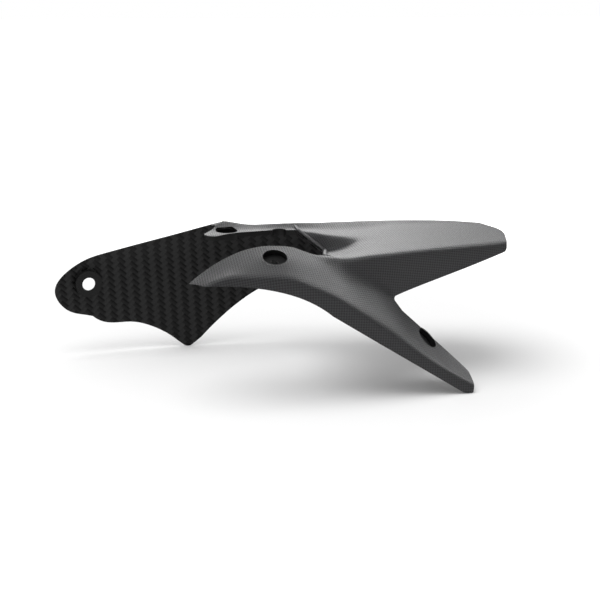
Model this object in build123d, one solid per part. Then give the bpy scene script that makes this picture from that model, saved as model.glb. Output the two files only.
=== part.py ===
# Rear hugger mudguard, a one-piece moulded shell.
# X runs to the rear, Y to the right-hand side of the wheel, Z up. Sizes in millimetres.
# The far side carries the long hanging panel, the near side the arm.
# The finished part has its origin in the flange bolt hole, halfway through the seat's floor.
from build123d import *
import os

os.makedirs("parts", exist_ok=True)

# Overall sizes
nose_x = -222.0
tail_x = 190.0
panel_y = 90.0
arm_y = -100.0
deck_z = 117.0
wall = 2.0

# Blade and its rounded tail
blade_mid = 6.0
tail_half = 50.0
tail_bulge = 10.0
tail_from = 145.0

# Fork, and the valley behind the blade's leading edge
lead_x = 9.0
lead_r = 2.4
valley_x = 28.0
valley_deep = 14.0
lug_x = -82.0
arm_in = arm_y + 40

# Lowest points of the two sides
lobe_x = -97.0
lobe_r = 7.0
tip_x = 136.6

# Rim and relief of the flange edge
rim_wall = 1.8
rim_deep = 4.5
relief_x = -9.5
relief_r = 6.5

# Bolt seats
seat_r = 10.4
seat_deep = 5.5
bolt_r = 3.25
panel_seat_r = 10.6
panel_bolt_r = 6.2

# Character lines, each through its points from ahead of the nose to behind the tail
front = nose_x - 18
back = tail_x + 15
far_foot = [
    (front, panel_y - 26, -40),
    (nose_x + 34, panel_y - 12, -40),
    (-98, panel_y + 1, -30),
    (-20, panel_y + 2, 20),
    (60, panel_y - 10, 40),
    (back, panel_y - 36, 45),
]
far_waist = [
    (front, panel_y - 28, deck_z - 27),
    (nose_x + 44, panel_y - 10.5, deck_z - 24.6),
    (-122, panel_y - 2.5, deck_z - 22.3),
    (-77, panel_y + 2, deck_z - 19),
    (-20, panel_y + 4.5, deck_z - 14),
    (60, panel_y - 4, deck_z - 9),
    (back, panel_y - 30, deck_z - 8),
]
far_ridge = [
    (front, panel_y - 38, deck_z + 7),
    (nose_x + 44, panel_y - 21.5, deck_z + 8),
    (-107, panel_y - 10.5, deck_z + 8.2),
    (-60, panel_y - 3, deck_z + 8.8),
    (-35, panel_y - 3.5, deck_z + 3.6),
    (4, panel_y - 7, deck_z + 4.6),
    (53, panel_y - 13, deck_z + 6),
    (92, panel_y - 18.5, deck_z + 7),
    (130, panel_y - 26.5, deck_z + 7),
    (back, panel_y - 40, deck_z + 4),
]
dish = [
    (front, panel_y - 55, deck_z - 0.5),
    (-150, panel_y - 32, deck_z - 0.2),
    (-60, panel_y - 16, deck_z + 0.3),
    (-35, panel_y - 13, deck_z - 0.5),
    (-16, panel_y - 13, deck_z - 0.6),
    (12, panel_y - 17, deck_z - 0.3),
    (41, panel_y - 29, deck_z + 0.1),
    (62, panel_y - 33, deck_z + 0.9),
    (104, panel_y - 33, deck_z + 4),
    (back, panel_y - 53, deck_z + 4.8),
]
lip = [
    (front, blade_mid + 20, deck_z - 1.5),
    (-60, blade_mid + 47, deck_z - 0.8),
    (9, blade_mid + 54, deck_z - 0.5),
    (21, blade_mid + 38.5, deck_z - 0.2),
    (46, blade_mid + 17.5, deck_z),
    (60, blade_mid + 12, deck_z + 0.4),
    (78, blade_mid + 16, deck_z + 1.6),
    (104, blade_mid + 23, deck_z + 3.7),
    (back, blade_mid + 17, deck_z + 5.2),
]
valley = [
    (front, blade_mid, deck_z - 9),
    (-60, blade_mid + 28, deck_z - 14),
    (12, blade_mid + 33, deck_z - 17),
    (valley_x, blade_mid + 21.3, deck_z - valley_deep),
    (44, blade_mid + 10.5, deck_z - 8),
    (61, blade_mid - 1, deck_z - 0.3),
    (80, blade_mid - 4, deck_z + 1.3),
    (104, blade_mid - 6, deck_z + 3.3),
    (back, blade_mid - 4, deck_z + 5.2),
]
near_crease = [
    (front, arm_y + 46, deck_z - 17),
    (-106, arm_y + 44, deck_z - 3.5),
    (-80, arm_y + 44, deck_z + 5),
    (-45, arm_y + 46, deck_z + 13.5),
    (-20, arm_y + 46, deck_z + 12),
    (7, arm_y + 41, deck_z + 1.8),
    (29, arm_y + 33, deck_z - 0.4),
    (50, arm_y + 34, deck_z + 0.7),
    (97, arm_y + 42, deck_z + 2.4),
    (back, arm_y + 62, deck_z + 5),
]
near_root = [
    (front, arm_y + 20, deck_z - 72),
    (-106, arm_y + 20, deck_z - 15.2),
    (-33, arm_y + 20.5, deck_z + 3.3),
    (7, arm_y + 22, deck_z - 7),
    (29, arm_y + 25, deck_z - 17),
    (50, arm_y + 31, deck_z - 23),
    (70, arm_y + 34, deck_z - 37),
    (97, arm_y + 40, deck_z - 62),
    (137, arm_y + 43, 20),
    (back, arm_y + 50, 0),
]
arm_crease = [
    (front, arm_y + 5, 30),
    (-106, arm_y + 6, deck_z - 22),
    (-74, arm_y + 7, deck_z - 8),
    (-33, arm_y + 2, deck_z - 8.5),
    (4, arm_y, deck_z - 20.6),
    (46, arm_y, deck_z - 46.7),
    (105, arm_y + 1, 26.6),
    (back, arm_y + 5, -30),
]
arm_hem = [
    (front, arm_y, 0),
    (-106, arm_y + 3, deck_z - 57),
    (-33, arm_y - 1.5, deck_z - 39),
    (4, arm_y - 3, deck_z - 51),
    (46, arm_y - 3, deck_z - 77),
    (105, arm_y - 1.5, -4),
    (back, arm_y + 3, -80),
]
lines = [far_foot, far_waist, far_ridge, dish, lip, valley, near_crease, near_root, arm_crease, arm_hem]
blends = [9, 7, 8, 4, 4, 5, 8, 4]
steps = 29
stations = [nose_x - 13 + (tail_x - nose_x + 13) * k / steps for k in range(steps + 1)]


# Slopes at the points of a line, held back so that it never swings past them
def flow(values, gaps):
    rises = [(b - a) / gap for a, b, gap in zip(values, values[1:], gaps)]
    slopes = [rises[0]]
    for before, after in zip(rises, rises[1:]):
        level = before * after <= 0
        slopes.append(0.0 if level else 2 * before * after / (before + after))
    slopes.append(rises[-1])
    return slopes


# Where a character line crosses the station at x
def crossing(points, x):
    xs = [p[0] for p in points]
    gaps = [b - a for a, b in zip(xs, xs[1:])]
    i = max(k for k in range(len(gaps)) if xs[k] <= x)
    t = (x - xs[i]) / gaps[i]
    place = [x]
    for axis in (1, 2):
        values = [p[axis] for p in points]
        slopes = flow(values, gaps)
        ease = t * t * (3 - 2 * t)
        bend = slopes[i] * t * (1 - t) ** 2 - slopes[i + 1] * t * t * (1 - t)
        place.append(values[i] + (values[i + 1] - values[i]) * ease + bend * gaps[i])
    return Vector(*place)


# Stations near the tail bow forward at both sides, so that the last one is the rounded tail edge
def bowed(point):
    share = max(0.0, (point.X - tail_from) / (tail_x - tail_from)) ** 2
    out = ((point.Y - blade_mid) / tail_half) ** 2
    return point - Vector(tail_bulge * share * 2 * out / (1 + out), 0, 0)


# Straight runs between the corners, each corner rounded as far as its runs have room for
def trace(points):
    runs = [b - a for a, b in zip(points, points[1:])]
    row = []
    start = points[0]
    for corner, before, after, blend in zip(points[1:], runs, runs[1:], blends):
        reach = min(blend, 0.45 * before.length, 0.45 * after.length)
        into = corner - before.normalized() * reach
        out = corner + after.normalized() * reach
        row += [start + (into - start) * t for t in (0, 1 / 3, 2 / 3)]
        row += [into * (1 - t) ** 2 + corner * 2 * t * (1 - t) + out * t * t for t in (0, 0.25, 0.5, 0.75)]
        start = out
    row += [start + (points[-1] - start) * t for t in (0, 1 / 3, 2 / 3, 1)]
    return [bowed(point) for point in row]


# The outer and the inner line of the wall at one station
def section(x):
    outer = [crossing(points, x) for points in lines]
    runs = [(b - a).normalized() for a, b in zip(outer, outer[1:])]
    sides = [Vector(0, -d.Z, d.Y) for d in runs]
    inner = [outer[0] + sides[0] * wall]
    for corner, before, after in zip(outer[1:], sides, sides[1:]):
        inner.append(corner + (before + after) * wall / (1 + before.dot(after)))
    inner.append(outer[-1] + sides[-1] * wall)
    return trace(outer), trace(inner)


def skin(rows):
    profiles = [Edge.make_spline(row) for row in rows]
    columns = [0] + list(range(5, len(rows[0]) - 4, 7)) + [-1]
    guides = [Edge.make_spline([row[k] for row in rows]) for k in columns]
    return Face.make_gordon_surface(profiles, guides)


def joined(first, second):
    faces = [first, second]
    for edge in first.edges():
        partner = min(second.edges(), key=lambda other: (other.center() - edge.center()).length)
        faces.append(Face.make_surface_from_curves(edge, partner))
    return Solid(Shell(faces))


sections = [section(x) for x in stations]
outside = skin([rows[0] for rows in sections])
inside = skin([rows[1] for rows in sections])
shell = joined(outside, inside)


# Side outlines: everything outside them is cut away from its own side of the shell
def side_cut(edges, start, reach):
    corners = [(front - 60, -150), (back + 60, -150), (back + 60, deck_z + 55), (front - 60, deck_z + 55)]
    frame = Polyline(*side(start, corners), close=True)
    waste = make_face(frame.edges()) - make_face(edges)
    return extrude(waste, abs(reach), dir=(0, reach, 0))


def side(start, points):
    return [(x, start, z) for x, z in points]


skirt_end = (tail_x - 11, deck_z - 5)
tail_end = (back + 35, deck_z + 8)
tail_top = (back + 35, deck_z + 43)
toe = (-106.5, deck_z - 15.4)
elbow = (12, deck_z - 42.8)

near_start = -20
hem = Spline(*side(near_start, [toe, (-64, deck_z - 16.2), (-20, deck_z - 24.6), elbow]))
arm_points = [elbow, (tip_x - 7.5, 0), (tip_x, 0), (tip_x + 1.8, 12.8), (79.5, deck_z - 49), (70.8, deck_z - 37)]
arm_points += [skirt_end, (tail_x - 9, deck_z - 1), tail_end]
arm_end = FilletPolyline(*side(near_start, arm_points), radius=[12, 1.5, 4, 12, 2.5, 3, 1])
near_top = Polyline(*side(near_start, [tail_end, tail_top, (toe[0], tail_top[1]), toe]))
shell -= side_cut(hem.edges() + arm_end.edges() + near_top.edges(), near_start, 1.4 * arm_y)

far_start = 20
brow = (nose_x + 42, deck_z - 21)
chin = (nose_x + 34, 37)
belly_end = (lobe_x - 9, 5)
lobe_end = (lobe_x + 13, 8)
belly_run = belly_end[0] - chin[0]
far_top = Polyline(*side(far_start, [tail_end, tail_top, (-62, tail_top[1]), (-62, deck_z + 5.8), brow]))
nose = Spline(
    *side(far_start, [brow, (nose_x + 17, deck_z - 31.5), (nose_x, 64), (nose_x + 11, 45), chin]),
    tangents=[(-1, 0, -0.227), (1, 0, -0.3)],
)
belly = Spline(
    *side(far_start, [chin, (chin[0] + 0.22 * belly_run, 28.8), (chin[0] + 0.44 * belly_run, 28.2)]),
    *side(far_start, [(chin[0] + 0.69 * belly_run, 22), belly_end]),
)
lobe = FilletPolyline(*side(far_start, [belly_end, (lobe_x, -2.05), lobe_end]), radius=lobe_r)
rise = Spline(*side(far_start, [lobe_end, (-61, 30), (-23, 56), (40, deck_z - 42), skirt_end]))
far_tail = Polyline(*side(far_start, [skirt_end, (tail_end[0], deck_z + 4), tail_end]))
far_edges = far_top.edges() + nose.edges() + belly.edges() + lobe.edges() + rise.edges() + far_tail.edges()
shell -= side_cut(far_edges, far_start, 1.6 * panel_y)


# Plan outline of the fork
def column(face):
    return extrude(Pos(0, 0, -60) * face, deck_z + 120, dir=(0, 0, 1))


toe_y = arm_y + 20
arm_edge = Spline((toe[0], toe_y), (-80, arm_in - 7), (-45, arm_in - 1.2), (-12, arm_in), (6, arm_in))
fork_edge = FilletPolyline(
    (6, arm_in),
    (lead_x + 4, arm_in + 3),
    (valley_x, blade_mid + 21),
    (lead_x, panel_y - 26),
    (-16, panel_y - 21),
    (-48, panel_y - 28),
    (lug_x + 10, panel_y - 39.5),
    (lug_x - 4, panel_y - 37),
    (lug_x + 16, panel_y - 8),
    (-107, panel_y - 10),
    (nose_x + 36, panel_y - 20),
    (front - 10, panel_y - 43),
    (front - 10, toe_y),
    (toe[0], toe_y),
    radius=[1.5, 5, 3, 20, 20, 8, 6, 4, 30, 30, 1, 1],
)
fork = make_face(arm_edge.edges() + fork_edge.edges())
shell -= column(fork)

# Rim turned down along the flange edge
band = offset(fork, rim_wall) - fork
band &= Pos(-40, panel_y - 42) * Rectangle(96, 58)
rim_patch = outside & column(band)
shell += extrude(rim_patch, rim_deep, dir=(0, 0, -1))

# Half-round relief in the flange edge
relief_place = Pos(relief_x, panel_y - 22, deck_z - 4)
relief = Cylinder(relief_r + wall, 6) - Cylinder(relief_r, 6)
relief &= Pos(0, 10, 0) * Box(40, 20, 20)
shell += relief_place * relief
shell -= relief_place * Cylinder(relief_r, 30)


def on_skin(x, y):
    return outside.find_intersection_points(Axis((x, y, 2 * deck_z), (0, 0, -1)))[0][0]


# Bead rolled along the leading edge, with both ends sunk: one in the far ridge, one in the near crease
lead_plan = [(lead_x - 1.5, panel_y - 8), (lead_x, panel_y - 27), (valley_x, blade_mid + 21)]
lead_plan += [(lead_x + 4.5, arm_in + 6), (lead_x + 18, arm_in - 6)]
lead_sink = [wall / 2 + lead_r, wall / 2, wall / 2, wall / 2, wall / 2 + lead_r]
lead_points = [on_skin(x, y) - Vector(0, 0, sink) for (x, y), sink in zip(lead_plan, lead_sink)]
lead_path = FilletPolyline(*lead_points, radius=[8, 8, 7])
bead_end = Plane(lead_path @ 0, z_dir=lead_path % 0)
shell += sweep(bead_end * Circle(lead_r), path=lead_path)


# Bolt seats, each a cup sunk square to the skin or, where upright, along its axis
def seat(axis, radius, hole, upright=False):
    point, normal = outside.find_intersection_points(axis)[0]
    if upright:
        normal = -axis.direction
    if normal.dot(axis.direction) > 0:
        normal = -normal
    place = Plane(point, z_dir=normal)
    low = (Align.CENTER, Align.CENTER, Align.MIN)
    cup = place * Pos(0, 0, -seat_deep - wall) * Cylinder(radius + wall, seat_deep + wall - 0.9, align=low)
    pocket = place * Pos(0, 0, -seat_deep) * Cylinder(radius, seat_deep + 2, align=low)
    bolt = place * Cylinder(hole, 40)
    return cup, pocket, bolt, place.offset(-seat_deep - wall / 2).origin


seats = [
    seat(Axis((-33.2, arm_y + 24, 300), (0, 0, -1)), seat_r, bolt_r),
    seat(Axis((101.5, arm_y + 28, 300), (0, 0, -1)), seat_r, bolt_r),
    seat(Axis((-59.5, panel_y - 20.5, 300), (0, 0, -1)), seat_r, bolt_r, upright=True),
    seat(Axis((nose_x + 30, 300, deck_z - 47.3), (0, -1, 0)), panel_seat_r, panel_bolt_r),
]
for cup, pocket, bolt, floor in seats:
    shell = shell + cup - pocket - bolt

flange_floor = seats[2][3]
export_step(Pos(-flange_floor) * shell, "parts/mudguard_shell.step")
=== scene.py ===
# %% [markdown]
# # A rear mudguard in woven laminate
# A hugger mudguard is one thin moulding that sits close over a rear tyre.
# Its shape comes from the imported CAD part, so this lesson adds no shape. It gives the part its finish:
# a fine matt weave outside, a coarse dark twill inside, and plain cut edges.
# It then lights the part on a pale floor and puts the camera where the picture was taken.

# %% Start: the tools and the CAD frame
import math
import bpy
import bmesh
from mathutils import Matrix, Vector


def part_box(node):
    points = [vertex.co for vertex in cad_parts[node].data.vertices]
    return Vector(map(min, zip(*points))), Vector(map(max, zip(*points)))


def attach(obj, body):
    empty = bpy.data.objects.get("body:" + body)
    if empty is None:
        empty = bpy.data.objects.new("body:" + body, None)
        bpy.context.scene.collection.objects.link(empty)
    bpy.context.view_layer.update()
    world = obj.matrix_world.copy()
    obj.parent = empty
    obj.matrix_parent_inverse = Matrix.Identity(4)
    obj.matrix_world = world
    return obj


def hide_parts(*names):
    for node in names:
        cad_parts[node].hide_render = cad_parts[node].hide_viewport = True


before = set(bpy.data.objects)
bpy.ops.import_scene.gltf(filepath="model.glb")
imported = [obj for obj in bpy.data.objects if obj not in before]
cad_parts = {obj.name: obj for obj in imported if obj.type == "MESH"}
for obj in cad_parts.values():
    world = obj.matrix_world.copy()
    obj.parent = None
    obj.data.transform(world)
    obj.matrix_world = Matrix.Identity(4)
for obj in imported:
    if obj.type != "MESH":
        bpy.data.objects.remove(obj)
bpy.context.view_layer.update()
print("CAD nodes:", sorted(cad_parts))

# %% [markdown]
# ## Measures
# The row frame has its origin in the flange bolt hole, X to the rear, Y to the far side and Z up.
# Everything here is in metres. The box of the part gives the height of the floor and a point to aim at.

# %% Measures
low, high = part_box("mudguard_shell")
floor_z = low.z
middle = (low + high) / 2
print("shell from", [round(v, 3) for v in low], "to", [round(v, 3) for v in high])

# %% [markdown]
# ## The shell as one merged mesh
# The CAD mesh is loose triangles, each with its own corners. Smooth shading and unrolling both need
# joined faces, so a copy is merged first and the CAD object stays as it is.

# %% Shell: a merged copy
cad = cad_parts["mudguard_shell"]
shell = bpy.data.objects.new("shell", cad.data.copy())
bpy.context.scene.collection.objects.link(shell)
shell.data.materials.clear()

bm = bmesh.new()
bm.from_mesh(shell.data)
bmesh.ops.remove_doubles(bm, verts=bm.verts, dist=2e-6)
bmesh.ops.dissolve_degenerate(bm, edges=bm.edges, dist=1e-6)
print("merged shell:", len(bm.verts), "points,", len(bm.faces), "triangles")

# %% [markdown]
# ## Edges that part the skins
# A trimmed edge of a real laminate is square, so an edge that turns sharply is marked sharp.
# The rolled bead has no such edge: its surface runs smoothly from the outer skin round to the inner one.
# There the parting is put where the surface turns from looking away from the wheel space to looking into it.
# Such a seam cuts the cloth without showing as a hard edge.

# %% Shell: sharp edges and seams
wheel_space = Vector((0.06, -0.07, -0.1))
sharp_turn = math.radians(26)


def looks_out(face):
    return face.normal.dot(face.calc_center_median() - wheel_space) > 0


for edge in bm.edges:
    sharp = len(edge.link_faces) != 2 or edge.calc_face_angle(0.0) > sharp_turn
    edge.smooth = not sharp
    edge.seam = sharp or len({looks_out(face) for face in edge.link_faces}) == 2
for face in bm.faces:
    face.smooth = True
print("seam edges:", sum(edge.seam for edge in bm.edges))

# %% [markdown]
# ## Skins
# The real part shows a different cloth on each side. Painting faces by hand would be lost at the next build,
# so the faces are sorted by rule. Faces joined over unmarked edges make one region.
# The large regions are the skins, and the ones that look away from the wheel space are outer.
# The small ones are the cut edges and the bolt seats, which get dark resin on the edges and painted shade in
# the seats, or, where they run smoothly into a skin, as pieces of the bead do, a part of that skin.

# %% Skins: helpers that gather regions
def gather(faces):
    left = set(faces)
    regions = []
    while left:
        region = [left.pop()]
        for face in region:
            for edge in face.edges:
                if not edge.seam:
                    for other in edge.link_faces:
                        if other in left:
                            left.remove(other)
                            region.append(other)
        regions.append(region)
    return regions


def area(region):
    return sum(face.calc_area() for face in region)


def smooth_neighbours(region):
    return {other for face in region for edge in face.edges if edge.smooth for other in edge.link_faces}


regions = sorted(gather(bm.faces), key=area, reverse=True)
print("regions:", len(regions))

# %% Skins: sort the faces into material slots
outer_slot, inner_slot, edge_and_seat_shade_slot = 0, 1, 2
skin_area = 0.0012
skins = [region for region in regions if area(region) > skin_area]
for face in bm.faces:
    face.material_index = edge_and_seat_shade_slot
for region in skins:
    slot = outer_slot if looks_out(region[0]) else inner_slot
    for face in region:
        face.material_index = slot
    print("skin in slot", slot, "of", round(area(region) * 1e4, 1), "cm2")
# Small regions with no smooth neighbour, the cut edges and the bolt seats, keep the dark slot: dark resin on
# the edges, painted shade in the seats.
for region in regions[len(skins):]:
    slot = min((other.material_index for other in smooth_neighbours(region)), default=edge_and_seat_shade_slot)
    for face in region:
        face.material_index = slot
bm.to_mesh(shell.data)
bm.free()

# %% [markdown]
# ## Cloth coordinates
# On the real part, flat cloth is pressed into a mould. A pattern on plain X, Y and Z would smear on the
# upright faces, so each region is unrolled flat instead, as a sheet of cloth would lie on it.
# Unrolling gives each region a size and a turn of its own. Each is scaled back to its real size,
# and turned so that its first direction runs along X.

# %% Cloth coordinates: unroll
bpy.ops.object.select_all(action="DESELECT")
shell.select_set(True)
bpy.context.view_layer.objects.active = shell
shell.data.uv_layers.new(name="cloth")
bpy.ops.object.mode_set(mode="EDIT")
bpy.ops.mesh.select_all(action="SELECT")
bpy.ops.uv.unwrap(method="CONFORMAL", margin=0.001)
bpy.ops.object.mode_set(mode="OBJECT")
print("unrolled:", shell.data.uv_layers.active.name)

# %% Cloth coordinates: scale and turn
bm = bmesh.new()
bm.from_mesh(shell.data)
cloth = bm.loops.layers.uv.active
for region in gather(bm.faces):
    flat = 0.0
    run = Vector((0.0, 0.0))
    for face in region:
        a, b, c = [loop[cloth].uv.copy() for loop in face.loops][:3]
        ax, bx, cx = [loop.vert.co.x for loop in face.loops][:3]
        flat += abs((b - a).cross(c - a)) / 2
        run += (b - a) * (bx - ax) + (c - b) * (cx - bx) + (a - c) * (ax - cx)
    scale = math.sqrt(area(region) / max(flat, 1e-12))
    square = Matrix.Rotation(-math.atan2(run.y, run.x), 2)
    for face in region:
        for loop in face.loops:
            loop[cloth].uv = square @ loop[cloth].uv * scale
bm.to_mesh(shell.data)
bm.free()
print("cloth laid on", len(shell.data.polygons), "triangles")

# %% [markdown]
# ## A weave as a node tree
# Woven cloth has threads in two directions, warp and weft, one over the other in turn.
# A plain weave changes at each thread. A two-by-two twill changes after two, one step on in each row.
# Both come from whole-number steps of the cloth coordinates, so one helper makes either,
# and it stays sharp at any distance. The rounded top of each thread is a sine, used as a bump.

# %% Weave: small helpers for the node trees
def new_material(name):
    material = bpy.data.materials.new(name)
    material.use_nodes = True
    tree = material.node_tree
    return material, tree, tree.nodes["Principled BSDF"]


def sum_up(tree, kind, first, second=0.0):
    node = tree.nodes.new("ShaderNodeMath")
    node.operation = kind
    for socket, value in zip(node.inputs, (first, second)):
        if isinstance(value, (int, float)):
            socket.default_value = value
        else:
            tree.links.new(value, socket)
    return node.outputs[0]


def tint(tree, factor, dark, light):
    mix = tree.nodes.new("ShaderNodeMix")
    mix.data_type = "RGBA"
    tree.links.new(factor, mix.inputs["Factor"])
    mix.inputs["A"].default_value = (*dark, 1)
    mix.inputs["B"].default_value = (*light, 1)
    return mix.outputs["Result"]


def raise_threads(tree, shader, height, strength, depth):
    bump = tree.nodes.new("ShaderNodeBump")
    bump.inputs["Strength"].default_value = strength
    bump.inputs["Distance"].default_value = depth
    tree.links.new(height, bump.inputs["Height"])
    tree.links.new(bump.outputs[0], shader.inputs["Normal"])


# %% Weave: which thread is on top, and how high it stands
def threads(tree, pitch, turn, over):
    place = tree.nodes.new("ShaderNodeUVMap")
    place.uv_map = "cloth"
    mapping = tree.nodes.new("ShaderNodeMapping")
    mapping.inputs["Rotation"].default_value = (0, 0, turn)
    mapping.inputs["Scale"].default_value = (1 / pitch, 1 / pitch, 1)
    tree.links.new(place.outputs[0], mapping.inputs[0])
    split = tree.nodes.new("ShaderNodeSeparateXYZ")
    tree.links.new(mapping.outputs[0], split.inputs[0])
    u, v = split.outputs[0], split.outputs[1]
    column = sum_up(tree, "FLOOR", u)
    row = sum_up(tree, "FLOOR", v)
    step = sum_up(tree, "FLOORED_MODULO", sum_up(tree, "ADD", column, row), 2 * over)
    warp = sum_up(tree, "LESS_THAN", step, over - 0.5)
    across = sum_up(tree, "ABSOLUTE", sum_up(tree, "SINE", sum_up(tree, "MULTIPLY", u, math.pi)))
    along = sum_up(tree, "ABSOLUTE", sum_up(tree, "SINE", sum_up(tree, "MULTIPLY", v, math.pi)))
    weft = sum_up(tree, "SUBTRACT", 1.0, warp)
    over_warp = sum_up(tree, "MULTIPLY", warp, across)
    over_weft = sum_up(tree, "MULTIPLY", weft, along)
    return warp, sum_up(tree, "ADD", over_warp, over_weft)


# %% [markdown]
# ## The fine outer weave
# Outside, the part is a matt grey plain weave, so fine that only its rows of small squares show.
# A thread is 1.5 mm wide. The cloth lies at 45 degrees to the part, which puts the rows upright on the arm.

# %% Materials: the fine outer weave
fine_pitch = 0.0015
fine_turn = 0.785
fine, tree, shader = new_material("fine_weave")
warp, height = threads(tree, fine_pitch, fine_turn, 1)
tree.links.new(tint(tree, warp, (0.009, 0.009, 0.010), (0.030, 0.030, 0.032)), shader.inputs["Base Color"])
shader.inputs["Roughness"].default_value = 0.4
raise_threads(tree, shader, height, 0.8, 0.00025)
print("fine weave, threads of", fine_pitch * 1000, "mm")

# %% [markdown]
# ## The coarse inner twill
# Inside, the backing is a nearly black twill with threads 4.3 mm wide.
# It is turned so that its stepped bands stand almost upright on the panel.
# It has less sheen than the outside, so it stays dark over a white floor.

# %% Materials: the coarse inner twill
coarse_pitch = 0.0043
coarse_turn = 0.75
coarse, tree, shader = new_material("coarse_twill")
warp, height = threads(tree, coarse_pitch, coarse_turn, 2)
tree.links.new(tint(tree, warp, (0.002, 0.002, 0.002), (0.014, 0.014, 0.014)), shader.inputs["Base Color"])
shader.inputs["Roughness"].default_value = 0.4
shader.inputs["Specular IOR Level"].default_value = 0.2
raise_threads(tree, shader, height, 0.6, 0.0006)
print("coarse twill, threads of", coarse_pitch * 1000, "mm")

# %% [markdown]
# ## Cut edges, and painted shade in the seats
# A cut edge shows no weave, only dark resin. The bolt seats take the same dark as painted shade, for the
# shade that fills their recesses.
# One plain material does for both.
# The shell then rides on the part's one body and takes the place of the CAD node.

# %% Materials: the cut edges and the painted shade in the seats
edging_and_seat_shade, tree, shader = new_material("cut_edge_and_seat_shade")
# Near-black: dark resin on the cut edges, and painted shade in the bolt seats.
shader.inputs["Base Color"].default_value = (0.006, 0.006, 0.006, 1)
shader.inputs["Roughness"].default_value = 0.45
shader.inputs["Specular IOR Level"].default_value = 0.2

for material in (fine, coarse, edging_and_seat_shade):
    shell.data.materials.append(material)
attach(shell, "root")
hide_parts("mudguard_shell")
print("materials:", [m.name for m in shell.data.materials])

# %% [markdown]
# ## Floor
# The part lies on a wide pale floor, which catches its soft shadow.
# Away from the part the floor glows to the camera alone, so the background is white
# without more light on the part.

# %% Floor: a wide sheet
bm = bmesh.new()
bmesh.ops.create_grid(bm, x_segments=1, y_segments=1, size=12)
floor_mesh = bpy.data.meshes.new("floor")
bm.to_mesh(floor_mesh)
bm.free()
floor_mesh.transform(Matrix.Translation((0, 0, floor_z - 0.0002)))
floor = bpy.data.objects.new("floor", floor_mesh)
bpy.context.scene.collection.objects.link(floor)
print("floor at", round(floor_z, 4))

# %% Floor: pale, and white far from the part
pale, tree, shader = new_material("pale_floor")
shader.inputs["Base Color"].default_value = (0.86, 0.86, 0.86, 1)
shader.inputs["Roughness"].default_value = 0.9
shader.inputs["Specular IOR Level"].default_value = 0.1
place = tree.nodes.new("ShaderNodeTexCoord")
away = tree.nodes.new("ShaderNodeVectorMath")
away.operation = "LENGTH"
tree.links.new(place.outputs["Object"], away.inputs[0])
fade = tree.nodes.new("ShaderNodeMapRange")
fade.interpolation_type = "SMOOTHSTEP"
fade.inputs["From Min"].default_value = 0.3
fade.inputs["From Max"].default_value = 0.8
tree.links.new(away.outputs["Value"], fade.inputs["Value"])
path = tree.nodes.new("ShaderNodeLightPath")
glow = sum_up(tree, "MULTIPLY", fade.outputs[0], path.outputs["Is Camera Ray"])
shader.inputs["Emission Color"].default_value = (1, 1, 1, 1)
tree.links.new(glow, shader.inputs["Emission Strength"])
floor_mesh.materials.append(pale)
print("floor material:", pale.name)

# %% [markdown]
# ## Lamps
# A broad lamp overhead gives the light and the shadow. A dark surface shows its form mostly by its sheen,
# so two softboxes, to the right and behind, show only there. They brighten the upward faces,
# and the faces towards the camera stay darker.

# %% Lamps
def lamp(name, place, aim, size, power):
    data = bpy.data.lights.new(name, "AREA")
    data.shape = "DISK"
    data.size = size
    data.energy = power
    item = bpy.data.objects.new(name, data)
    item.location = place
    item.rotation_euler = (Vector(aim) - Vector(place)).to_track_quat("-Z", "Y").to_euler()
    bpy.context.scene.collection.objects.link(item)
    return item


lamp("overhead", (-0.3, -0.25, 1.5), middle, 1.5, 16)
right = lamp("right_softbox", (1.2, 0.4, 1.0), middle, 0.8, 18)
back = lamp("back_softbox", (0.25, 1.6, 0.9), middle, 1.2, 16)
for softbox in (right, back):
    softbox.visible_diffuse = False
    softbox.visible_camera = False
print("lamps:", sorted(light.name for light in bpy.data.lights))

# %% [markdown]
# ## Room
# The room is white to the camera, a little dimmer as a light, and much dimmer in the sheen,
# as a studio is where no softbox stands.

# %% Room
room_white, room_light, room_sheen = 1.0, 0.76, 0.18
world = bpy.data.worlds.new("white_room")
world.use_nodes = True
bpy.context.scene.world = world
tree = world.node_tree
room = tree.nodes["Background"]
path = tree.nodes.new("ShaderNodeLightPath")
seen = sum_up(tree, "MULTIPLY", path.outputs["Is Camera Ray"], room_white - room_light)
mirrored = sum_up(tree, "MULTIPLY", path.outputs["Is Glossy Ray"], room_sheen - room_light)
level = sum_up(tree, "ADD", sum_up(tree, "ADD", seen, mirrored), room_light)
tree.links.new(level, room.inputs["Strength"])
room.inputs["Color"].default_value = (1, 1, 1, 1)
print("room light:", room_light)

# %% [markdown]
# ## Camera
# The picture was taken from the near side, a little from the front and above.
# The place and lens were found by matching the outline of the part to the picture.

# %% Camera
camera_data = bpy.data.cameras.new("camera")
camera_data.lens = 75.9
camera_data.sensor_width = 36
camera = bpy.data.objects.new("camera", camera_data)
camera.location = (-0.1158, -1.1764, 0.2327)
camera_aim = Vector((0.0595, -0.0695, -0.0467))
camera.rotation_euler = (camera_aim - camera.location).to_track_quat("-Z", "Y").to_euler()
bpy.context.scene.collection.objects.link(camera)
bpy.context.scene.camera = camera
bpy.context.scene.view_settings.view_transform = "Standard"
print("camera at", [round(v, 3) for v in camera.location])
